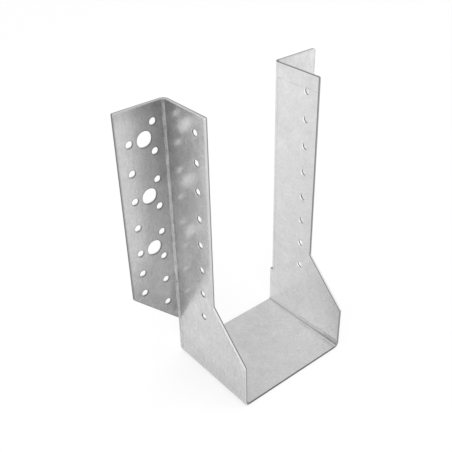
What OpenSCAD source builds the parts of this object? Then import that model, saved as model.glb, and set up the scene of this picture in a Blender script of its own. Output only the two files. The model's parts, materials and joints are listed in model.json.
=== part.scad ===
// Face-fixed joist hanger, folded from one blank of galvanised sheet steel.
// X runs along the header, -Y points out along the joist and +Z is up.
// The origin is on the joist's centre line, where the seat's top face meets the header's face.

/* [Joist pocket] */
// Clear width between the side plates
pocket_w = 90; // [60:1:160]
// Height of the side plates above the seat
side_h = 205; // [150:1:260]
// Depth of the seat, from the header's face to its front edge
seat_depth = 75; // [60:1:100]
// Depth of the side plates above their taper
strap_depth = 42; // [38:1:55]
// Height of the side plates' front edge, where they are as deep as the seat
lip_h = 33.5; // [15:0.5:60]
// Slope of the taper between the front edge and the strap
taper_angle = 45; // [30:1:60]

/* [Sheet] */
// Thickness of the sheet
sheet_t = 2; // [1.5:0.1:3]
// Inside radius of every fold
fold_r = 2; // [1:0.5:4]
// Radius at the upper free corners of the flanges and side plates
corner_r = 1; // [0.5:0.5:4]

/* [Header flanges] */
// Reach of a flange, from the inner face of its side plate to its free edge
flange_reach = 38; // [37:1:55]
// Height above the seat at which a flange springs from its side plate
foot_h = 31.5; // [15:0.5:60]
// Slope of a flange's lower edge
foot_angle = 45; // [30:1:55]

/* [Nail and bolt holes] */
// Diameter of a nail hole
nail_d = 5; // [4:0.5:6]
// Diameter of a bolt hole
bolt_d = 11; // [9:0.5:13]
// Pitch of the nail holes down a column
nail_pitch = 20; // [18:0.5:30]
// Distance of the first nail holes below the top edge
first_row = 12.5; // [8:0.5:20]
// Distance of a flange's inner nail column from the inner face of the side plate
inner_col = 11; // [9.5:0.5:12]
// Distance of a flange's outer nail column from the free edge
outer_edge = 9; // [7:0.5:10]
// Distance between a flange's bolt column and its outer nail column
bolt_gap = 11; // [9.5:0.5:12]
// Distance of a side plate's nail column from the front edge of the strap
side_edge = 10; // [7:0.5:14]
// Least height of a nail hole's centre above the flange's lower edge
nail_foot = 11; // [8:0.5:16]
// Least height of a bolt hole's centre above the flange's lower edge
bolt_foot = 20; // [12:1:40]

/* [Hidden] */
$fn = 96;

// Galvanised steel, a light neutral grey
zinc_grey = [0.74, 0.745, 0.75];

half_w = pocket_w / 2;
fold_out = sheet_t + fold_r;
flat_x = half_w + fold_out;
edge_x = half_w + flange_reach;
knee_h = lip_h + (seat_depth - strap_depth) * tan(taper_angle);
outer_col = flange_reach - outer_edge;
bolt_col = outer_col - bolt_gap;
side_nail_depth = strap_depth - side_edge;

// How far a cutting tool runs past the sheet
overrun = 1;

// Height of a flange's lower edge, at a distance from the inner face of its side plate
function foot_z(col) = foot_h + (col - sheet_t) * tan(foot_angle);

// Heights of evenly spaced rows, from the top one down to the lowest that clears the limit
function row_heights(top, limit, pitch) = [for (z = [top : -pitch : limit]) z];

nail_top = side_h - first_row;
stagger_top = nail_top - nail_pitch / 2;

nail_rows = row_heights(nail_top, foot_z(inner_col) + nail_foot, nail_pitch);
bolt_rows = row_heights(stagger_top, foot_z(bolt_col) + bolt_foot, 2 * nail_pitch);

// The outer column ends at its own height above the sloping edge, so its last two gaps are equal
outer_low = foot_z(outer_col) + nail_foot;
// Least height that those two gaps share
shared_gap = 1.2 * nail_pitch;
even_rows = row_heights(stagger_top, outer_low + shared_gap, nail_pitch);
even_low = even_rows[len(even_rows) - 1];
outer_rows = concat(even_rows, [(even_low + outer_low) / 2, outer_low]);

// Quarter of a ring in the first quadrant: the section of a fold
module fold_section() {
    intersection() {
        difference() {
            circle(r = fold_out);
            circle(r = fold_r);
        }
        square(fold_out);
    }
}

// What is cut away to round a square corner, drawn from the centre of the arc
module corner_waste() {
    difference() {
        square(corner_r + overrun);
        circle(r = corner_r);
    }
}

// Mirrored copy of the right-hand side on the left
module both_sides() {
    children();
    mirror([1, 0, 0]) children();
}

// Section of the seat and side plates, seen along the joist
module channel_section() {
    translate([-half_w + fold_r, -sheet_t])
        square([pocket_w - 2 * fold_r, sheet_t]);
    both_sides() {
        translate([half_w - fold_r, fold_r])
            mirror([0, 1]) fold_section();
        translate([half_w, fold_r])
            square([sheet_t, side_h - fold_r]);
    }
}

// Outline of a side plate: depth in front of the header, against height
module side_outline() {
    difference() {
        polygon([
            [0, -sheet_t], [seat_depth, -sheet_t], [seat_depth, lip_h], [strap_depth, knee_h],
            [strap_depth, side_h], [fold_out, side_h], [fold_out, foot_h], [0, foot_h]
        ]);
        translate([strap_depth - corner_r, side_h - corner_r]) corner_waste();
    }
}

// Section of a header flange and the fold that joins it to its side plate, seen from above
module flange_section() {
    translate([flat_x, -fold_out])
        mirror([1, 0]) fold_section();
    translate([flat_x, -sheet_t])
        square([edge_x - flat_x, sheet_t]);
}

// Outline of a header flange, seen from the front, with its sloping lower edge
module flange_outline() {
    difference() {
        polygon([
            [half_w, foot_z(0)], [edge_x, foot_z(flange_reach)], [edge_x, side_h], [half_w, side_h]
        ]);
        translate([edge_x - corner_r, side_h - corner_r]) corner_waste();
    }
}

// Seat and side plates: the channel that holds the joist
module channel() {
    intersection() {
        rotate([90, 0, 0])
            linear_extrude(height = seat_depth) channel_section();
        rotate([90, 0, -90])
            linear_extrude(height = pocket_w + 2 * sheet_t + 2 * overrun, center = true) side_outline();
    }
}

// Right-hand header flange with its fold
module flange() {
    intersection() {
        linear_extrude(height = side_h) flange_section();
        translate([0, overrun, 0])
            rotate([90, 0, 0])
                linear_extrude(height = fold_out + 2 * overrun) flange_outline();
    }
}

// Column of holes through the right-hand flange
module flange_holes(col, rows, dia) {
    for (z = rows)
        translate([half_w + col, overrun, z])
            rotate([90, 0, 0]) cylinder(d = dia, h = sheet_t + 2 * overrun);
}

// Column of nail holes through both side plates
module side_holes() {
    for (z = nail_rows)
        translate([0, -side_nail_depth, z])
            rotate([0, 90, 0])
                cylinder(d = nail_d, h = pocket_w + 2 * sheet_t + 2 * overrun, center = true);
}

// The folded and punched sheet
module hanger() {
    color(zinc_grey)
        difference() {
            union() {
                channel();
                both_sides() flange();
            }
            both_sides() {
                flange_holes(inner_col, nail_rows, nail_d);
                flange_holes(outer_col, outer_rows, nail_d);
                flange_holes(bolt_col, bolt_rows, bolt_d);
            }
            side_holes();
        }
}

hanger();
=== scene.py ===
"""Joist hanger: the galvanised finish of the folded sheet, a pale studio, its lamps and the camera."""

from __future__ import annotations

import json
import logging
import math
from dataclasses import dataclass, field
from enum import Enum
from typing import Any, Sequence

import bpy
from mathutils import Matrix, Vector


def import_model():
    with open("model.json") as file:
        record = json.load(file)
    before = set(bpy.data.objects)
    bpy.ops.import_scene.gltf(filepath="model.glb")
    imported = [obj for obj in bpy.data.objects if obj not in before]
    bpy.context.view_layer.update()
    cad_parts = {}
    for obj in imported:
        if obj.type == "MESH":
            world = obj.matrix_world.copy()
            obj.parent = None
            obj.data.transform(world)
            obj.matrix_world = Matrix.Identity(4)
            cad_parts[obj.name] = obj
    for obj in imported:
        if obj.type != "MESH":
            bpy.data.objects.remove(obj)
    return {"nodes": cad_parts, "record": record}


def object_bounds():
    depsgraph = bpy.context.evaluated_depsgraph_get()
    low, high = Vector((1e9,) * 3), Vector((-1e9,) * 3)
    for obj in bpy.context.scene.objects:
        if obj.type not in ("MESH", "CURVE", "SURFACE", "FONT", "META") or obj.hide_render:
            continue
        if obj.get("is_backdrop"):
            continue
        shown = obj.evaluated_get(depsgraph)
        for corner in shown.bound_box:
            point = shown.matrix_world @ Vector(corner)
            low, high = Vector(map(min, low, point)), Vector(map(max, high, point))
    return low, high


LOG = logging.getLogger("joist_hanger")
MM = 0.001
# More than rounding and less than a picture shows
HAIR = 0.01 * MM
# Middle of a noise pattern's values, and the stretch of them that sets the satin and the painted crease line
NOISE_MIDDLE = 0.5
NOISE_STRETCH = (0.25, 0.75)
IMAGE_SIDE_PX = 452
SENSOR_MM = 36.0

Tree = bpy.types.NodeTree
Socket = bpy.types.NodeSocket
Links = dict[str | int, Any]


def linear(hex_code: str) -> tuple[float, float, float, float]:
    """Turn an sRGB hex colour into the linear colour that Blender's sockets take.

    Args:
        hex_code: Six hex digits after a hash.

    Returns:
        Linear red, green and blue, and an alpha of 1.
    """
    digits = hex_code.lstrip("#")
    channels = [int(digits[i:i + 2], 16) / 255 for i in (0, 2, 4)]
    red, green, blue = [c / 12.92 if c <= 0.04045 else ((c + 0.055) / 1.055) ** 2.4 for c in channels]
    return red, green, blue, 1.0


def add(tree: Tree, kind: str, settings: dict[str, Any] | None = None,
        links: Links | None = None) -> bpy.types.Node:
    """Add one node to a tree, with its settings and what feeds its sockets.

    Args:
        tree: Node tree that takes the node.
        kind: Blender's identifier of the node.
        settings: Node properties by name.
        links: Input socket by name or index, with a value or another node's output socket.

    Returns:
        The new node.
    """
    node = tree.nodes.new(kind)
    for name, value in (settings or {}).items():
        setattr(node, name, value)
    for key, value in (links or {}).items():
        if isinstance(value, Socket):
            tree.links.new(value, node.inputs[key])
        else:
            node.inputs[key].default_value = value
    return node


def empty_tree(owner: bpy.types.Material | bpy.types.World) -> Tree:
    """Switch an owner to nodes and clear what it starts with.

    Args:
        owner: Material or world.

    Returns:
        Its empty node tree.
    """
    owner.use_nodes = True
    owner.node_tree.nodes.clear()
    return owner.node_tree


def all_of(tree: Tree, tests: Sequence[tuple[str, Any, Any]]) -> Socket:
    """Combine comparisons into one mask.

    Args:
        tree: Node tree that takes the nodes.
        tests: Comparisons, each with its operation and its two sides.

    Returns:
        1 where every comparison holds and 0 elsewhere.
    """
    mask: Any = 1.0
    for operation, first, second in tests:
        holds = add(tree, "ShaderNodeMath", {"operation": operation}, {0: first, 1: second}).outputs[0]
        mask = add(tree, "ShaderNodeMath", {"operation": "MULTIPLY"}, {0: mask, 1: holds}).outputs[0]
    return mask


@dataclass(frozen=True)
class SheetSizes:
    """Sizes of the folded sheet in metres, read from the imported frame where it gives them.

    The sizes that have a value here are written as in the part's source.
    """

    half_pocket: float
    sheet: float
    reach: float
    top: float
    nail_depth: float
    strap: float = 42 * MM
    lip: float = 33.5 * MM
    foot: float = 31.5 * MM
    fold_r: float = 2 * MM
    nail_r: float = 2.5 * MM

    @classmethod
    def from_frame(cls, record: dict[str, Any], cad_box: tuple[Vector, Vector]) -> SheetSizes:
        """Read the sizes from the record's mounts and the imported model's box.

        Args:
            record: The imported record.
            cad_box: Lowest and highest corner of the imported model.

        Returns:
            The sizes of the sheet.
        """
        places = {mount["name"]: mount["pos_m"] for mount in record["mounts"]}
        return cls(
            half_pocket=places["joist_cheek_right"][0],
            sheet=-places["seat_underside"][2],
            reach=cad_box[1].x,
            top=cad_box[1].z,
            nail_depth=-places["joist_nails_right_rows_1_8"][1],
        )


class Cut(Enum):
    """Kinds and places of the blank's cut edges, whose tones differ by place as painted light and shade."""

    SHEARED = "outline, sheared"
    # The left-hand outline, painted lighter than the outline on the right
    LEFT_PAINTED_LIGHTER = "left-hand outline, trimmed with a keener tool"
    NOTCHED = "taper, notched"
    SEAT_FRONT = "front of the seat"
    FREE_EDGE = "free edge of a flange"
    FLANGE_TOP = "top edge of the right-hand flange"
    PLATE_HOLE = "nail hole in a side plate"
    FLANGE_HOLE = "nail or bolt hole in a flange"


@dataclass(frozen=True)
class CutEdge:
    """Bare edge of the blank: a burnished band beside the tool's entry, then a torn one."""

    burnish: str
    fracture: str
    torn_share: float
    torn_inside: bool
    blend: float = 0.05

    def colour(self, tree: Tree, share: Socket) -> Socket:
        """Colour the edge across the sheet's thickness.

        Args:
            tree: Material's node tree.
            share: Depth as a share of the thickness, 0 at the face inside the pocket.

        Returns:
            The edge's colour.
        """
        limits = (self.torn_share - self.blend, self.torn_share + self.blend)
        if not self.torn_inside:
            limits = (1 - limits[0], 1 - limits[1])
        polished = add(tree, "ShaderNodeMapRange", {"interpolation_type": "SMOOTHSTEP"}, {
            "Value": share, "From Min": limits[0], "From Max": limits[1]}).outputs[0]
        return add(tree, "ShaderNodeMix", {"data_type": "RGBA"}, {
            "Factor": polished, "A": linear(self.fracture), "B": linear(self.burnish)}).outputs["Result"]


@dataclass(frozen=True)
class Mark:
    """Scratch, scuff or spot on the zinc along a line in mm, or painted shade; a fade below 0 paints light.
    """

    start: tuple[float, float, float]
    end: tuple[float, float, float]
    width: float
    fade: float

    def tone(self, tree: Tree, place: Socket) -> Socket:
        """Tell how much of the zinc's brightness the mark leaves.

        Args:
            tree: Material's node tree.
            place: Object coordinates in metres, wavering a little.

        Returns:
            1 away from the mark, less on a darker one and more on a lighter one.
        """
        origin = Vector(self.start) * MM
        run = (Vector(self.end) - Vector(self.start)) * MM
        offset = add(tree, "ShaderNodeVectorMath", {"operation": "SUBTRACT"}, {
            0: place, 1: origin}).outputs[0]
        along = add(tree, "ShaderNodeVectorMath", {"operation": "DOT_PRODUCT"}, {
            0: offset, 1: run / run.length_squared}).outputs["Value"]
        share = add(tree, "ShaderNodeMath", {"operation": "ADD", "use_clamp": True}, {
            0: along, 1: 0.0}).outputs[0]
        nearest = add(tree, "ShaderNodeVectorMath", {"operation": "SCALE"}, {
            0: run, "Scale": share}).outputs[0]
        away = add(tree, "ShaderNodeVectorMath", {"operation": "DISTANCE"}, {0: offset, 1: nearest})
        return add(tree, "ShaderNodeMapRange", {"interpolation_type": "SMOOTHSTEP"}, {
            "Value": away.outputs["Value"], "From Min": 0.0, "From Max": self.width * MM,
            "To Min": 1 - self.fade, "To Max": 1.0}).outputs[0]


# Burnished and torn tones of each cut, which differ by place as painted light and shade:
# lighter on the left-hand side and at the right-hand flange's top, darker at the seat's front and free edges
SHEET_EDGES = {
    Cut.SHEARED: CutEdge(burnish="#A8A8A8", fracture="#8E8E8E", torn_share=0.50, torn_inside=True),
    Cut.LEFT_PAINTED_LIGHTER: CutEdge(burnish="#E2E2E2", fracture="#999999", torn_share=0.42, torn_inside=True),
    Cut.NOTCHED: CutEdge(burnish="#DEDEDE", fracture="#646464", torn_share=0.38, torn_inside=True),
    Cut.SEAT_FRONT: CutEdge(burnish="#828282", fracture="#6E6E6E", torn_share=0.50, torn_inside=True),
    Cut.FREE_EDGE: CutEdge(burnish="#969696", fracture="#727272", torn_share=0.50, torn_inside=True),
    Cut.FLANGE_TOP: CutEdge(burnish="#DADADA", fracture="#B2B2B2", torn_share=0.50, torn_inside=True),
    Cut.PLATE_HOLE: CutEdge(burnish="#FFFFFF", fracture="#646464", torn_share=0.42, torn_inside=False),
    Cut.FLANGE_HOLE: CutEdge(burnish="#F2F2F2", fracture="#505050", torn_share=0.46, torn_inside=False),
}

# Scratches and spots, with bands of painted shade and painted light among them
SHEET_MARKS_PAINTED_SHADE_AND_LIGHT = (
    Mark((45.0, -5.0, 194.3), (45.0, -42.0, 195.0), 0.6, 0.22),
    # Painted shade on the right-hand plate's inner face where it turns into the flange's fold
    Mark((45.0, -4.6, 31.5), (45.0, -4.6, 205.0), 1.1, 0.10),
    Mark((-63.2, -2.0, 69.6), (-57.0, -2.0, 67.3), 0.6, 0.25),
    Mark((-47.7, -2.6, 65.8), (-47.7, -2.6, 66.4), 1.0, 0.40),
    # Painted shade at the top of the left-hand crease and along the left-hand flange's top
    Mark((-48.2, -2.6, 203.0), (-48.0, -2.6, 205.0), 1.6, 0.35),
    Mark((-84.0, -2.0, 204.0), (-56.0, -2.0, 206.0), 11.0, 0.20),
    Mark((-52.4, -2.0, 66.0), (-51.4, -2.0, 66.3), 0.8, 0.22),
    Mark((-50.2, -2.0, 54.4), (-49.6, -2.0, 55.6), 0.9, 0.28),
    # Painted shade on the right-hand plate just above the seat's fold, deepest towards the front
    Mark((45.0, -34.0, 2.8), (45.0, -74.0, 4.4), 0.8, 0.36),
    Mark((45.0, -62.0, 3.0), (45.0, -75.0, 3.4), 2.4, 0.20),
    # Painted shade over the left-hand flange along its foot
    Mark((-52.0, -2.0, 38.0), (-80.0, -2.0, 70.0), 20.0, 0.19),
    # Painted light over the seat's front right-hand corner, and on the left-hand plate by the strap's front
    # edge
    Mark((45.0, -66.0, 0.0), (45.0, -75.0, 0.0), 66.0, -0.08),
    Mark((-47.0, -41.0, 95.0), (-47.0, -41.0, 205.0), 12.0, -0.10),
    # Painted shade over the bottom of the left-hand plate and the seat's left-hand side
    Mark((-47.0, -14.0, 2.0), (-47.0, -74.0, 2.0), 30.0, 0.08),
    # Painted shade beside the left-hand crease, high and low
    Mark((-52.5, -2.5, 150.0), (-52.5, -2.5, 205.0), 6.0, 0.13),
    Mark((-50.5, -2.0, 44.0), (-50.5, -2.0, 72.0), 5.0, 0.15),
)


@dataclass(frozen=True)
class SheetPoint:
    """Where a shaded point lies on the folded sheet, as sockets of the material's tree.

    side is its distance from the joist's centre plane and section its place in a cut seen from above.
    across and below run outward and downward from the centre line of the seat's fold.
    """

    tree: Tree
    sizes: SheetSizes
    coords: Socket
    x: Socket
    y: Socket
    z: Socket
    side: Socket
    section: Socket
    across: Socket
    below: Socket

    @classmethod
    def locate(cls, tree: Tree, sizes: SheetSizes) -> SheetPoint:
        """Make the sockets that tell where a point lies.

        Args:
            tree: Material's node tree.
            sizes: Sizes of the sheet.

        Returns:
            The point.
        """
        coords = add(tree, "ShaderNodeTexCoord").outputs["Object"]
        x, y, z = add(tree, "ShaderNodeSeparateXYZ", {}, {0: coords}).outputs
        side = add(tree, "ShaderNodeMath", {"operation": "ABSOLUTE"}, {0: x}).outputs[0]
        section = add(tree, "ShaderNodeCombineXYZ", {}, {"X": side, "Y": y}).outputs[0]
        across = add(tree, "ShaderNodeMath", {"operation": "SUBTRACT"}, {
            0: side, 1: sizes.half_pocket - sizes.fold_r}).outputs[0]
        below = add(tree, "ShaderNodeMath", {"operation": "SUBTRACT"}, {
            0: sizes.fold_r, 1: z}).outputs[0]
        return cls(tree, sizes, coords, x, y, z, side, section, across, below)

    def depth_share(self) -> Socket:
        """Measure how deep the point lies in the sheet, as a share of the thickness.

        The channel is a rounded box seen along the joist and each flange is a rounded corner seen from
        above, so two distances to rounded outlines give the depth all over the folded sheet.

        Returns:
            0 at the face inside the pocket and 1 at the outer one.
        """
        tree, sizes = self.tree, self.sizes
        outer_r = sizes.sheet + sizes.fold_r
        inward = add(tree, "ShaderNodeMath", {"operation": "SUBTRACT"}, {
            0: sizes.half_pocket + outer_r, 1: self.side}).outputs[0]
        behind = add(tree, "ShaderNodeMath", {"operation": "ADD"}, {0: self.y, 1: outer_r}).outputs[0]
        reaches = []
        for first, second in ((self.across, self.below), (inward, behind)):
            pair = add(tree, "ShaderNodeCombineXYZ", {}, {"X": first, "Y": second}).outputs[0]
            clear = add(tree, "ShaderNodeVectorMath", {"operation": "MAXIMUM"}, {0: pair}).outputs[0]
            rounded = add(tree, "ShaderNodeVectorMath", {"operation": "LENGTH"}, {0: clear})
            larger = add(tree, "ShaderNodeMath", {"operation": "MAXIMUM"}, {0: first, 1: second})
            flat = add(tree, "ShaderNodeMath", {"operation": "MINIMUM"}, {0: larger.outputs[0], 1: 0.0})
            reaches.append(add(tree, "ShaderNodeMath", {"operation": "ADD"}, {
                0: rounded.outputs["Value"], 1: flat.outputs[0]}).outputs[0])
        channel = add(tree, "ShaderNodeMath", {"operation": "SUBTRACT"}, {
            0: reaches[0], 1: sizes.fold_r}).outputs[0]
        flange = add(tree, "ShaderNodeMath", {"operation": "SUBTRACT"}, {
            0: outer_r, 1: reaches[1]}).outputs[0]
        low = add(tree, "ShaderNodeMath", {"operation": "LESS_THAN"}, {
            0: self.z, 1: sizes.foot + 2 * HAIR}).outputs[0]
        depth = add(tree, "ShaderNodeMix", {"data_type": "FLOAT"}, {
            "Factor": low, "A": flange, "B": channel}).outputs["Result"]
        return add(tree, "ShaderNodeMath", {"operation": "DIVIDE"}, {0: depth, 1: sizes.sheet}).outputs[0]

    def cuts(self) -> dict[Cut, Socket]:
        """Tell the cut edges apart by where they lie.

        Returns:
            A mask for each kind of cut but the sheared outline, which is the rest.
        """
        sizes = self.sizes
        margin = 1 * MM
        edge_band = 0.5 * MM
        hole_r = sizes.nail_r + 0.1 * MM
        foot_line = add(self.tree, "ShaderNodeMath", {"operation": "ADD"}, {
            0: self.side, 1: sizes.foot - sizes.half_pocket - sizes.sheet + 2 * margin}).outputs[0]
        tests = {
            Cut.LEFT_PAINTED_LIGHTER: (
                ("LESS_THAN", self.x, HAIR - sizes.half_pocket),
            ),
            Cut.NOTCHED: (
                ("LESS_THAN", self.y, -sizes.strap - 2 * HAIR),
                ("GREATER_THAN", self.z, sizes.lip + 2 * HAIR),
            ),
            Cut.SEAT_FRONT: (
                ("LESS_THAN", self.side, sizes.half_pocket - sizes.fold_r),
            ),
            Cut.FREE_EDGE: (
                ("GREATER_THAN", self.side, sizes.reach - edge_band),
                ("LESS_THAN", self.z, sizes.top - HAIR),
            ),
            Cut.FLANGE_TOP: (
                ("GREATER_THAN", self.x, sizes.half_pocket + sizes.sheet + sizes.fold_r),
                ("GREATER_THAN", self.z, sizes.top - HAIR),
            ),
            Cut.PLATE_HOLE: (
                ("LESS_THAN", self.y, hole_r - sizes.nail_depth),
                ("GREATER_THAN", self.y, -hole_r - sizes.nail_depth),
                ("LESS_THAN", self.z, sizes.top - margin),
                ("GREATER_THAN", self.z, sizes.foot),
            ),
            Cut.FLANGE_HOLE: (
                ("LESS_THAN", self.side, sizes.reach - margin),
                ("GREATER_THAN", self.side, sizes.half_pocket + sizes.sheet + margin),
                ("LESS_THAN", self.z, sizes.top - margin),
                ("GREATER_THAN", self.z, foot_line),
            ),
        }
        return {kind: all_of(self.tree, rows) for kind, rows in tests.items()}


@dataclass(frozen=True)
class GalvanisedSheet:
    """Hot-dip galvanised steel, temper rolled: satin zinc with a faint cloudy mottle and fine roll lines.

    Temper rolling flattens the spangle, so the zinc reads as a soft grey mirror with low-contrast clouds
    and short curved streaks. The outer face rubbed against the tools and is mottled more strongly. The
    blank was sheared and punched after coating, so its edges show grey steel in two bands, their tones
    differing by place as painted light and shade, with a thin band of painted shade beside them on the
    flanges. The tight side of the seat's folds has a painted shade and a fine painted dark line. Along
    the flanges' creases lie a painted shade line broken up by the roll lines and a soft band of painted
    shade beside it, more on the left.
    """

    zinc: str = "#E0E0E0"
    # Tints of the painted shade and the painted dark line on the tight side of the seat's folds
    seat_fold_shade: str = "#CACACA"
    seat_fold_shade_line: str = "#8A8A8A"
    # How far into the seat's fold its painted shade and its painted dark shade line begin and are full
    seat_fold_shade_mm: tuple[float, float] = (0.05, 0.35)
    seat_fold_shade_line_mm: tuple[float, float] = (1.02, 1.30)

    # Shares of the thickness: where each face gives way to the cut edge, and what counts as inside
    inner_face: tuple[float, float] = (0.03, 0.08)
    outer_face: tuple[float, float] = (0.92, 0.97)
    inside_share: float = 0.2

    cloud_mm: float = 14.0
    spangle_mm: float = 7.0
    vein_mm: float = 6.0
    blotch_mm: float = 4.0
    grain_mm: float = 1.6
    roll_across_mm: float = 0.9
    roll_along_mm: float = 7.0
    # How strongly a pattern varies the tone, inside the pocket and on the outer face
    cloud_swing: tuple[float, float] = (0.38, 0.40)
    blotch_swing: tuple[float, float] = (0.22, 0.28)
    roll_swing: tuple[float, float] = (0.12, 0.32)
    streak_width: float = 0.035
    streak_dulling: float = 0.07
    # Cloud values between which the streaks come in
    streaked_clouds: tuple[float, float] = (0.46, 0.58)

    waver_mm: float = 9.0
    waver_reach_mm: float = 2.2

    # The painted shade line lies round a line this far outward and forward of the plate's and flange's corner
    crease_line_offset_mm: float = 0.6
    crease_line_reach_mm: tuple[float, float] = (1.2, 2.8)
    crease_line_tones: tuple[float, float] = (-0.30, 0.10)

    # The painted shade band lies round a line on the flange, and is shorter front to back by the factor
    crease_band_offset_mm: float = 7.0
    crease_band_flattening: float = 1.8
    crease_band_reach_mm: float = 28.0
    crease_band_shading: float = 0.34
    crease_band_foot_share: float = 0.15
    crease_band_right_share: float = 0.3

    rollover_mm: float = 1.8
    # How squarely the rolled-over normal faces the face's own, from the darkest painted shade to where it
    # ends
    edge_shade_facing: tuple[float, float] = (0.80, 0.99)
    edge_shading: float = 0.48
    edge_shade_below_top_mm: float = 2.0
    ease: float = 0.5

    roughness_low: float = 0.20
    roughness_high: float = 0.34
    torn_roughness: float = 0.55
    burnished_roughness: float = 0.22
    # Brightness of bare steel that counts as torn and as burnished
    edge_tones: tuple[float, float] = (0.15, 0.75)

    # Heights of grain and blotches beside the spangle's, then the height and strength of the whole
    grain_relief: float = 0.14
    blotch_relief: float = 0.8
    relief_mm: float = 0.02
    relief_strength: float = 0.25

    def patterns(self, point: SheetPoint) -> tuple[Socket, Socket, Socket]:
        """Make the patterns that vary the zinc.

        The roll lines are finer on a real sheet and are drawn coarser here, so that the picture keeps them.

        Args:
            point: Where the shaded point lies.

        Returns:
            Clouds, blotches and roll lines.
        """
        tree = point.tree
        clouds = add(tree, "ShaderNodeTexNoise", {}, {
            "Vector": point.coords, "Scale": 1 / (self.cloud_mm * MM), "Detail": 5.0, "Roughness": 0.62,
            "Distortion": 0.6}).outputs[0]
        blotches = add(tree, "ShaderNodeTexNoise", {}, {
            "Vector": point.coords, "Scale": 1 / (self.blotch_mm * MM), "Detail": 2.0, "Roughness": 0.55,
            "Distortion": 1.2}).outputs[0]
        pitch = Vector((self.roll_across_mm, self.roll_across_mm, self.roll_along_mm)) * MM
        lengthwise = add(tree, "ShaderNodeVectorMath", {"operation": "DIVIDE"}, {
            0: point.coords, 1: pitch}).outputs[0]
        roll_lines = add(tree, "ShaderNodeTexNoise", {}, {
            "Vector": lengthwise, "Scale": 1.0, "Detail": 2.0, "Roughness": 0.6}).outputs[0]
        return clouds, blotches, roll_lines

    def streaks(self, point: SheetPoint, clouds: Socket) -> Socket:
        """Draw short curved streaks where the clouds are thick.

        Args:
            point: Where the shaded point lies.
            clouds: The cloud pattern.

        Returns:
            0 away from a streak and a little less on one.
        """
        tree = point.tree
        field_lines = add(tree, "ShaderNodeTexNoise", {}, {
            "Vector": point.coords, "Scale": 1 / (self.vein_mm * MM), "Detail": 2.0,
            "Distortion": 1.0}).outputs[0]
        off_line = add(tree, "ShaderNodeMath", {"operation": "SUBTRACT"}, {
            0: field_lines, 1: NOISE_MIDDLE}).outputs[0]
        off_line = add(tree, "ShaderNodeMath", {"operation": "ABSOLUTE"}, {0: off_line}).outputs[0]
        lines = add(tree, "ShaderNodeMapRange", {"interpolation_type": "SMOOTHSTEP"}, {
            "Value": off_line, "From Min": 0.0, "From Max": self.streak_width,
            "To Min": -self.streak_dulling, "To Max": 0.0}).outputs[0]
        patches = add(tree, "ShaderNodeMapRange", {"interpolation_type": "SMOOTHSTEP"}, {
            "Value": clouds, "From Min": self.streaked_clouds[0],
            "From Max": self.streaked_clouds[1]}).outputs[0]
        return add(tree, "ShaderNodeMath", {"operation": "MULTIPLY"}, {0: lines, 1: patches}).outputs[0]

    def mottled(self, point: SheetPoint, patterns: Sequence[Socket], outer: Socket) -> Socket:
        """Vary the zinc with its streaks and patterns.

        Args:
            point: Where the shaded point lies.
            patterns: Clouds, blotches and roll lines.
            outer: 1 on the outer face and 0 inside the pocket.

        Returns:
            The zinc's tone round 1.
        """
        tree = point.tree
        tone = add(tree, "ShaderNodeMath", {"operation": "ADD"}, {
            0: self.streaks(point, patterns[0]), 1: 1.0}).outputs[0]
        for pattern, swing in zip(patterns, (self.cloud_swing, self.blotch_swing, self.roll_swing)):
            weight = add(tree, "ShaderNodeMapRange", {}, {
                "Value": outer, "To Min": swing[0], "To Max": swing[1]}).outputs[0]
            centred = add(tree, "ShaderNodeMath", {"operation": "SUBTRACT"}, {
                0: pattern, 1: NOISE_MIDDLE}).outputs[0]
            tone = add(tree, "ShaderNodeMath", {"operation": "MULTIPLY_ADD"}, {
                0: centred, 1: weight, 2: tone}).outputs[0]
        return tone

    def crease_line_shaded(self, point: SheetPoint, roll_lines: Socket, tone: Socket) -> Socket:
        """Paint shade along the flanges' creases, broken up by the roll lines with a little painted light.

        Args:
            point: Where the shaded point lies.
            roll_lines: The roll lines, which break up the painted crease line.
            tone: The zinc's tone before.

        Returns:
            The zinc's tone.
        """
        tree, sizes = point.tree, point.sizes
        offset = self.crease_line_offset_mm * MM
        heart = (sizes.half_pocket + sizes.sheet + offset, -sizes.sheet - offset, 0.0)
        away = add(tree, "ShaderNodeVectorMath", {"operation": "DISTANCE"}, {0: point.section, 1: heart})
        crease = add(tree, "ShaderNodeMapRange", {"interpolation_type": "SMOOTHSTEP"}, {
            "Value": away.outputs["Value"], "From Min": self.crease_line_reach_mm[0] * MM,
            "From Max": self.crease_line_reach_mm[1] * MM, "To Min": 1.0, "To Max": 0.0}).outputs[0]
        crease_line_shade = add(tree, "ShaderNodeMapRange", {}, {
            "Value": roll_lines, "From Min": NOISE_STRETCH[0], "From Max": NOISE_STRETCH[1],
            "To Min": self.crease_line_tones[0], "To Max": self.crease_line_tones[1]}).outputs[0]
        return add(tree, "ShaderNodeMath", {"operation": "MULTIPLY_ADD"}, {
            0: crease_line_shade, 1: crease, 2: tone}).outputs[0]

    def worn_and_shaded(self, point: SheetPoint, tone: Socket) -> Socket:
        """Lay the scratches, scuffs and spots, and the painted shade and light, over the zinc's tone.

        Args:
            point: Where the shaded point lies.
            tone: The zinc's tone before the marks.

        Returns:
            The tone with the marks and the painted shade and light.
        """
        tree = point.tree
        drift = add(tree, "ShaderNodeTexNoise", {}, {
            "Vector": point.coords, "Scale": 1 / (self.waver_mm * MM), "Detail": 1.0}).outputs["Color"]
        drift = add(tree, "ShaderNodeVectorMath", {"operation": "SUBTRACT"}, {
            0: drift, 1: (NOISE_MIDDLE,) * 3}).outputs[0]
        place = add(tree, "ShaderNodeVectorMath", {"operation": "MULTIPLY_ADD"}, {
            0: drift, 1: (self.waver_reach_mm * MM,) * 3, 2: point.coords}).outputs[0]
        for mark in SHEET_MARKS_PAINTED_SHADE_AND_LIGHT:
            tone = add(tree, "ShaderNodeMath", {"operation": "MULTIPLY"}, {
                0: tone, 1: mark.tone(tree, place)}).outputs[0]
        return tone

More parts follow.
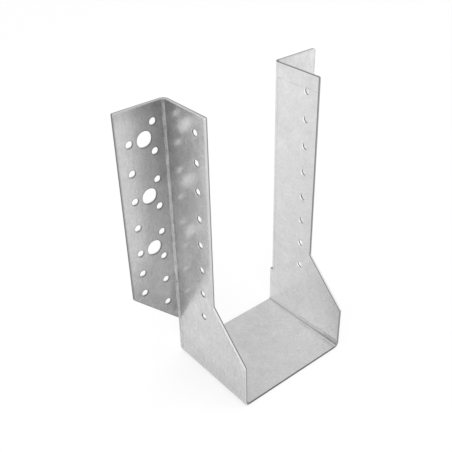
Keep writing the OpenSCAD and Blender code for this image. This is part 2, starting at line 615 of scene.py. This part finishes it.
    def crease_band_shaded(self, point: SheetPoint, outer: Socket, tone: Socket) -> Socket:
        """Paint a soft band of shade beside the flanges' creases, less towards the foot and the right.

        Args:
            point: Where the shaded point lies.
            outer: 1 on the outer face and 0 inside the pocket.
            tone: The zinc's tone before.

        Returns:
            The zinc's tone.
        """
        tree, sizes = point.tree, point.sizes
        heart = Vector((sizes.half_pocket + sizes.sheet + self.crease_band_offset_mm * MM, -sizes.sheet, 0.0))
        away = add(tree, "ShaderNodeVectorMath", {"operation": "SUBTRACT"}, {
            0: point.section, 1: heart}).outputs[0]
        away = add(tree, "ShaderNodeVectorMath", {"operation": "MULTIPLY"}, {
            0: away, 1: (1.0, self.crease_band_flattening, 1.0)}).outputs[0]
        away = add(tree, "ShaderNodeVectorMath", {"operation": "LENGTH"}, {0: away}).outputs["Value"]
        band_shade = add(tree, "ShaderNodeMapRange", {"interpolation_type": "SMOOTHSTEP"}, {
            "Value": away, "From Min": 0.0, "From Max": self.crease_band_reach_mm * MM,
            "To Min": -self.crease_band_shading, "To Max": 0.0}).outputs[0]
        upward = add(tree, "ShaderNodeMapRange", {}, {
            "Value": point.z, "From Min": sizes.foot, "From Max": sizes.top,
            "To Min": self.crease_band_foot_share, "To Max": 1.0}).outputs[0]
        leftward = add(tree, "ShaderNodeMapRange", {}, {
            "Value": point.x, "From Min": -sizes.half_pocket, "From Max": sizes.half_pocket,
            "To Min": 1.0, "To Max": self.crease_band_right_share}).outputs[0]
        for weight in (upward, leftward):
            band_shade = add(tree, "ShaderNodeMath", {"operation": "MULTIPLY"}, {0: band_shade, 1: weight}).outputs[0]
        band_shade = add(tree, "ShaderNodeMath", {"operation": "MULTIPLY_ADD"}, {
            0: band_shade, 1: outer, 2: 1.0}).outputs[0]
        return add(tree, "ShaderNodeMath", {"operation": "MULTIPLY"}, {0: tone, 1: band_shade}).outputs[0]

    def edge_shaded(self, point: SheetPoint, normals: tuple[Socket, Socket], on_flange: Socket,
               tone: Socket) -> Socket:
        """Paint a thin band of shade beside the flanges' cut edges.

        Args:
            point: Where the shaded point lies.
            normals: The face's own normal and the one that rolls over at the edges.
            on_flange: 1 on the outer faces of the flanges.
            tone: The zinc's tone before.

        Returns:
            The zinc's tone.
        """
        tree = point.tree
        facing = add(tree, "ShaderNodeVectorMath", {"operation": "DOT_PRODUCT"}, {
            0: normals[1], 1: normals[0]})
        edge_shade = add(tree, "ShaderNodeMapRange", {"interpolation_type": "SMOOTHSTEP"}, {
            "Value": facing.outputs["Value"], "From Min": self.edge_shade_facing[0],
            "From Max": self.edge_shade_facing[1], "To Min": -self.edge_shading, "To Max": 0.0}).outputs[0]
        edge_shade = add(tree, "ShaderNodeMath", {"operation": "MULTIPLY_ADD"}, {
            0: edge_shade, 1: on_flange, 2: 1.0}).outputs[0]
        return add(tree, "ShaderNodeMath", {"operation": "MULTIPLY"}, {0: tone, 1: edge_shade}).outputs[0]

    def bare_steel(self, point: SheetPoint, share: Socket) -> Socket:
        """Colour the cut edges by their kind and place, whose tones differ as painted light and shade.

        Args:
            point: Where the shaded point lies.
            share: Depth as a share of the thickness.

        Returns:
            The colour of the bare steel.
        """
        tree = point.tree
        bare = SHEET_EDGES[Cut.SHEARED].colour(tree, share)
        for kind, mask in point.cuts().items():
            bare = add(tree, "ShaderNodeMix", {"data_type": "RGBA"}, {
                "Factor": mask, "A": bare, "B": SHEET_EDGES[kind].colour(tree, share)}).outputs["Result"]
        return bare

    def coating(self, point: SheetPoint, share: Socket, tone: Socket) -> Socket:
        """Colour the zinc, with a painted shade and a fine painted dark line on the tight side of the seat's
        folds.

        Args:
            point: Where the shaded point lies.
            share: Depth as a share of the thickness.
            tone: The zinc's tone.

        Returns:
            The colour of the zinc.
        """
        tree = point.tree
        tight = add(tree, "ShaderNodeMath", {"operation": "MINIMUM"}, {
            0: point.across, 1: point.below}).outputs[0]
        inside = all_of(tree, (("LESS_THAN", share, self.inside_share),))
        zinc: Any = linear(self.zinc)
        shades = ((self.seat_fold_shade, self.seat_fold_shade_mm), (self.seat_fold_shade_line, self.seat_fold_shade_line_mm))
        for tint, limits in shades:
            fold_shade = add(tree, "ShaderNodeMapRange", {"interpolation_type": "SMOOTHSTEP"}, {
                "Value": tight, "From Min": limits[0] * MM, "From Max": limits[1] * MM}).outputs[0]
            fold_shade = add(tree, "ShaderNodeMath", {"operation": "MULTIPLY"}, {0: fold_shade, 1: inside}).outputs[0]
            zinc = add(tree, "ShaderNodeMix", {"data_type": "RGBA"}, {
                "Factor": fold_shade, "A": zinc, "B": linear(tint)}).outputs["Result"]
        return add(tree, "ShaderNodeVectorMath", {"operation": "SCALE"}, {
            0: zinc, "Scale": tone}).outputs[0]

    def sheen(self, point: SheetPoint, clouds: Socket, cut: Socket, bare: Socket) -> Socket:
        """Set how satin the sheet is: the zinc by its clouds and the cut edges by their brightness.

        Args:
            point: Where the shaded point lies.
            clouds: The cloud pattern.
            cut: 1 on a cut edge and 0 on the faces.
            bare: The colour of the bare steel.

        Returns:
            The roughness.
        """
        tree = point.tree
        satin = add(tree, "ShaderNodeMapRange", {}, {
            "Value": clouds, "From Min": NOISE_STRETCH[0], "From Max": NOISE_STRETCH[1],
            "To Min": self.roughness_low, "To Max": self.roughness_high}).outputs[0]
        edge_satin = add(tree, "ShaderNodeMapRange", {}, {
            "Value": bare, "From Min": self.edge_tones[0], "From Max": self.edge_tones[1],
            "To Min": self.torn_roughness, "To Max": self.burnished_roughness}).outputs[0]
        return add(tree, "ShaderNodeMix", {"data_type": "FLOAT"}, {
            "Factor": cut, "A": satin, "B": edge_satin}).outputs["Result"]

    def relief(self, point: SheetPoint, blotches: Socket) -> Socket:
        """Raise the zinc faintly by its spangle, grain and blotches.

        Args:
            point: Where the shaded point lies.
            blotches: The blotch pattern.

        Returns:
            The height.
        """
        tree = point.tree
        grain = add(tree, "ShaderNodeTexNoise", {}, {
            "Vector": point.coords, "Scale": 1 / (self.grain_mm * MM), "Detail": 2.0,
            "Roughness": 0.5}).outputs[0]
        height = add(tree, "ShaderNodeTexVoronoi", {"feature": "SMOOTH_F1"}, {
            "Vector": point.coords, "Scale": 1 / (self.spangle_mm * MM),
            "Smoothness": 0.35}).outputs["Distance"]
        for pattern, share in ((grain, self.grain_relief), (blotches, self.blotch_relief)):
            height = add(tree, "ShaderNodeMath", {"operation": "MULTIPLY_ADD"}, {
                0: pattern, 1: share, 2: height}).outputs[0]
        return height

    def eased(self, tree: Tree, normals: tuple[Socket, Socket], outer: Socket,
              on_flange: Socket) -> Socket:
        """Ease the normal over the edges of the outer faces, but not on the flanges.

        Args:
            tree: Material's node tree.
            normals: The face's own normal and the one that rolls over at the edges.
            outer: 1 on the outer face and 0 inside the pocket.
            on_flange: 1 on the outer faces of the flanges.

        Returns:
            The normal.
        """
        off_flange = add(tree, "ShaderNodeMath", {"operation": "SUBTRACT"}, {
            0: 1.0, 1: on_flange}).outputs[0]
        ease = add(tree, "ShaderNodeMath", {"operation": "MULTIPLY"}, {0: outer, 1: self.ease}).outputs[0]
        ease = add(tree, "ShaderNodeMath", {"operation": "MULTIPLY"}, {0: ease, 1: off_flange}).outputs[0]
        normal = add(tree, "ShaderNodeMix", {"data_type": "VECTOR"}, {
            "Factor": ease, "A": normals[0], "B": normals[1]}).outputs["Result"]
        return add(tree, "ShaderNodeVectorMath", {"operation": "NORMALIZE"}, {0: normal}).outputs[0]

    def build(self, sizes: SheetSizes) -> bpy.types.Material:
        """Make the material.

        Args:
            sizes: Sizes of the sheet, which place its cut edges.

        Returns:
            The finished material.
        """
        material = bpy.data.materials.new("galvanised_sheet")
        tree = empty_tree(material)
        point = SheetPoint.locate(tree, sizes)
        share = point.depth_share()
        past_inner = add(tree, "ShaderNodeMapRange", {"interpolation_type": "SMOOTHSTEP"}, {
            "Value": share, "From Min": self.inner_face[0], "From Max": self.inner_face[1]}).outputs[0]
        outer = add(tree, "ShaderNodeMapRange", {"interpolation_type": "SMOOTHSTEP"}, {
            "Value": share, "From Min": self.outer_face[0], "From Max": self.outer_face[1]}).outputs[0]
        before_outer = add(tree, "ShaderNodeMath", {"operation": "SUBTRACT"}, {
            0: 1.0, 1: outer}).outputs[0]
        cut = add(tree, "ShaderNodeMath", {"operation": "MULTIPLY"}, {
            0: past_inner, 1: before_outer}).outputs[0]
        on_flange = all_of(tree, (
            ("GREATER_THAN", share, self.outer_face[1]),
            ("GREATER_THAN", point.side, sizes.half_pocket + sizes.sheet + sizes.fold_r),
            ("LESS_THAN", point.z, sizes.top - self.edge_shade_below_top_mm * MM),
        ))
        plain = add(tree, "ShaderNodeNewGeometry").outputs["Normal"]
        rolled = add(tree, "ShaderNodeBevel", {"samples": 6}, {"Radius": self.rollover_mm * MM}).outputs[0]

        clouds, blotches, roll_lines = self.patterns(point)
        tone = self.mottled(point, (clouds, blotches, roll_lines), outer)
        tone = self.crease_line_shaded(point, roll_lines, tone)
        tone = self.worn_and_shaded(point, tone)
        tone = self.crease_band_shaded(point, outer, tone)
        tone = self.edge_shaded(point, (plain, rolled), on_flange, tone)

        bare = self.bare_steel(point, share)
        colour = add(tree, "ShaderNodeMix", {"data_type": "RGBA"}, {
            "Factor": cut, "A": self.coating(point, share, tone), "B": bare}).outputs["Result"]
        bump = add(tree, "ShaderNodeBump", {}, {
            "Height": self.relief(point, blotches), "Strength": self.relief_strength,
            "Distance": self.relief_mm * MM,
            "Normal": self.eased(tree, (plain, rolled), outer, on_flange)}).outputs[0]
        shader = add(tree, "ShaderNodeBsdfPrincipled", {}, {
            "Base Color": colour, "Metallic": 1.0, "Roughness": self.sheen(point, clouds, cut, bare),
            "Normal": bump}).outputs[0]
        add(tree, "ShaderNodeOutputMaterial", {}, {"Surface": shader})
        return material


@dataclass
class Hanger:
    """The folded sheet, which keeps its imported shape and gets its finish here."""

    node: bpy.types.Object
    sizes: SheetSizes
    finish: GalvanisedSheet = field(default_factory=GalvanisedSheet)

    def dress(self) -> None:
        """Put the galvanised finish in the sheet's material slots."""
        material = self.finish.build(self.sizes)
        if not self.node.material_slots:
            self.node.data.materials.append(material)
        for slot in self.node.material_slots:
            slot.material = material


def seen_rays(tree: Tree, path: bpy.types.Node) -> Socket:
    """Mark the rays that show a background: camera, glossy and transmission rays.

    Args:
        tree: Node tree of the floor or the surround.
        path: Its Light Path node.

    Returns:
        1 for such rays and 0 for the rest.
    """
    seen = path.outputs["Is Camera Ray"]
    for kind in ("Is Glossy Ray", "Is Transmission Ray"):
        seen = add(tree, "ShaderNodeMath", {"operation": "MAXIMUM"}, {
            0: seen, 1: path.outputs[kind]}).outputs[0]
    return seen


def mirrored_tone(tree: Tree, path: bpy.types.Node,
                  tone: Socket) -> Socket:
    """Limit a tone to what the sheet mirrors, so that the background itself stays white.

    Args:
        tree: Node tree of the floor or the surround.
        path: Its Light Path node.
        tone: Brightness that the sheet mirrors, 1 for white.

    Returns:
        The tone for glossy rays and 1 for the rest.
    """
    return add(tree, "ShaderNodeMix", {"data_type": "FLOAT"}, {
        "Factor": path.outputs["Is Glossy Ray"], "A": 1.0, "B": tone}).outputs["Result"]


@dataclass(frozen=True)
class PaperFloor:
    """White paper floor: plain and matt, so that it only carries the sheet's soft shadow.

    The studio is dim round the photographer, so what the sheet mirrors of the paper there is darker. Well
    clear of the sheet the paper is seen as plain white, so that it meets the surround without a line.
    """

    side: float = 8.0
    colour: str = "#FCFCFC"
    glow_colour: str = "#FFFFFF"
    glow_share: float = 0.66
    shadow_reach: float = 0.5
    white_from: float = 1.4
    mirrored_glow_share: float = 0.69
    dim_centre: tuple[float, float, float] = (-0.35, -0.45, 0.0)
    dim_from: float = 0.0
    dim_to: float = 0.74
    dimmest: float = 0.52

    def build(self, height: float) -> bpy.types.Object:
        """Lay the floor.

        Args:
            height: Height of the floor, in metres.

        Returns:
            The floor's object.
        """
        half = self.side / 2
        corners = [(-half, -half, height), (half, -half, height), (half, half, height), (-half, half, height)]
        mesh = bpy.data.meshes.new("paper_floor")
        mesh.from_pydata(corners, [], [(0, 1, 2, 3)])
        floor = bpy.data.objects.new("paper_floor", mesh)
        bpy.context.scene.collection.objects.link(floor)
        mesh.materials.append(self.material())
        floor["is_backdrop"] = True
        return floor

    def material(self) -> bpy.types.Material:
        """Make the paper, which shows white to the camera.

        Returns:
            The floor's material.
        """
        material = bpy.data.materials.new("matt_paper")
        tree = empty_tree(material)
        path = add(tree, "ShaderNodeLightPath")
        place = add(tree, "ShaderNodeTexCoord").outputs["Object"]
        away = add(tree, "ShaderNodeVectorMath", {"operation": "DISTANCE"}, {0: place, 1: self.dim_centre})
        tone = add(tree, "ShaderNodeMapRange", {}, {
            "Value": away.outputs["Value"], "From Min": self.dim_from, "From Max": self.dim_to,
            "To Min": self.dimmest, "To Max": 1.0}).outputs[0]
        tone = mirrored_tone(tree, path, tone)
        tint = add(tree, "ShaderNodeVectorMath", {"operation": "SCALE"}, {
            0: linear(self.colour)[:3], "Scale": tone}).outputs[0]
        paper = add(tree, "ShaderNodeBsdfDiffuse", {}, {"Color": tint}).outputs[0]
        glow = add(tree, "ShaderNodeEmission", {}, {
            "Color": linear(self.glow_colour), "Strength": tone}).outputs[0]
        from_sheet = add(tree, "ShaderNodeVectorMath", {"operation": "LENGTH"}, {0: place}).outputs["Value"]
        seen_share = add(tree, "ShaderNodeMapRange", {"interpolation_type": "SMOOTHSTEP"}, {
            "Value": from_sheet, "From Min": self.shadow_reach, "From Max": self.white_from,
            "To Min": self.glow_share, "To Max": 1.0}).outputs[0]
        share = add(tree, "ShaderNodeMix", {"data_type": "FLOAT"}, {
            "Factor": path.outputs["Is Glossy Ray"], "A": seen_share,
            "B": self.mirrored_glow_share}).outputs["Result"]
        share = add(tree, "ShaderNodeMath", {"operation": "MULTIPLY"}, {
            0: seen_rays(tree, path), 1: share}).outputs[0]
        surface = add(tree, "ShaderNodeMixShader", {}, {0: share, 1: paper, 2: glow}).outputs[0]
        add(tree, "ShaderNodeOutputMaterial", {}, {"Surface": surface})
        return material


@dataclass(frozen=True)
class StudioWorld:
    """Even studio surround: white where it is seen, softer where it only lights.

    Its right-hand side is a little dimmer, which only the sheet's reflections show.
    """

    colour: str = "#FFFFFF"
    light: float = 0.66
    left_tone: float = 1.09
    right_tone: float = 0.745
    # X of the directions at which the left and the right tone are reached
    left_heading: float = -0.6
    right_heading: float = 0.45

    def build(self) -> None:
        """Set the scene's world."""
        world = bpy.data.worlds.new("studio_surround")
        tree = empty_tree(world)
        path = add(tree, "ShaderNodeLightPath")
        heading = add(tree, "ShaderNodeSeparateXYZ", {}, {
            0: add(tree, "ShaderNodeTexCoord").outputs["Generated"]}).outputs["X"]
        tone = add(tree, "ShaderNodeMapRange", {"interpolation_type": "SMOOTHSTEP"}, {
            "Value": heading, "From Min": self.left_heading, "From Max": self.right_heading,
            "To Min": self.left_tone, "To Max": self.right_tone}).outputs[0]
        strength = add(tree, "ShaderNodeMix", {"data_type": "FLOAT"}, {
            "Factor": seen_rays(tree, path), "A": self.light,
            "B": mirrored_tone(tree, path, tone)}).outputs["Result"]
        surround = add(tree, "ShaderNodeBackground", {}, {
            "Color": linear(self.colour), "Strength": strength}).outputs[0]
        add(tree, "ShaderNodeOutputWorld", {}, {"Surface": surround})
        bpy.context.scene.world = world


@dataclass(frozen=True)
class Softbox:
    """Square studio lamp with a diffusing front, which the sheet may or may not mirror."""

    name: str
    place: tuple[float, float, float]
    aim: tuple[float, float, float]
    side: float
    watts: float
    mirrored: bool = True

    def build(self) -> bpy.types.Object:
        """Hang the lamp and aim it.

        Returns:
            The lamp's object.
        """
        lamp = bpy.data.lights.new(self.name, "AREA")
        lamp.shape = "SQUARE"
        lamp.size = self.side
        lamp.energy = self.watts
        holder = bpy.data.objects.new(self.name, lamp)
        holder.location = self.place
        holder.rotation_mode = "QUATERNION"
        holder.rotation_quaternion = (Vector(self.aim) - Vector(self.place)).to_track_quat("-Z", "Y")
        holder.visible_glossy = self.mirrored
        bpy.context.scene.collection.objects.link(holder)
        return holder


@dataclass(frozen=True)
class StudioCamera:
    """Camera at the photograph's viewpoint, fitted to the sheet's edges and holes."""

    place: tuple[float, float, float] = (-263.65 * MM, -329.44 * MM, 368.09 * MM)
    heading_deg: float = 38.694
    pitch_deg: float = 33.247
    roll_deg: float = 1.526
    focal_px: float = 692.61

    def build(self) -> bpy.types.Object:
        """Make the camera and give it to the scene.

        Returns:
            The camera's object.
        """
        heading, pitch, roll = (math.radians(a) for a in (self.heading_deg, self.pitch_deg, self.roll_deg))
        level_reach = math.cos(pitch)
        back = Vector((-math.sin(heading) * level_reach, -math.cos(heading) * level_reach, math.sin(pitch)))
        level = Vector((math.cos(heading), -math.sin(heading), 0.0))
        rise = back.cross(level)
        right = math.cos(roll) * level - math.sin(roll) * rise
        up = math.sin(roll) * level + math.cos(roll) * rise
        lens = bpy.data.cameras.new("studio_camera")
        lens.sensor_width = SENSOR_MM
        lens.lens = self.focal_px / IMAGE_SIDE_PX * SENSOR_MM
        camera = bpy.data.objects.new("studio_camera", lens)
        turn = Matrix((right, up, back)).transposed().to_4x4()
        camera.matrix_world = Matrix.Translation(self.place) @ turn
        bpy.context.scene.collection.objects.link(camera)
        bpy.context.scene.camera = camera
        return camera


# The sheet doesn't mirror the overhead lamp, which so lights only the floor
LAMPS = (
    Softbox("key_softbox", place=(-1.1, -1.4, 1.9), aim=(0.0, 0.0, 0.08), side=1.2, watts=11.0),
    Softbox("fill_softbox", place=(1.22, -1.60, 1.55), aim=(0.0, 0.0, 0.08), side=3.0, watts=8.5),
    Softbox("overhead_softbox", place=(0.0, 0.0, 2.6), aim=(0.0, 0.0, 0.0), side=2.5, watts=25.0,
            mirrored=False),
)


def main() -> None:
    """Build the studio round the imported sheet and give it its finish."""
    logging.basicConfig(level=logging.INFO, format="%(name)s: %(message)s")
    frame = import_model()
    cad_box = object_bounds()

    StudioCamera().build()
    LOG.info("camera placed")

    sizes = SheetSizes.from_frame(frame["record"], cad_box)
    Hanger(frame["nodes"]["hanger"], sizes).dress()
    LOG.info("sheet dressed")

    PaperFloor().build(cad_box[0].z)
    StudioWorld().build()
    for lamp in LAMPS:
        lamp.build()
    LOG.info("floor, surround and %d lamps set", len(LAMPS))

    bpy.context.scene.view_settings.view_transform = "Standard"


if __name__ == "__main__":
    main()
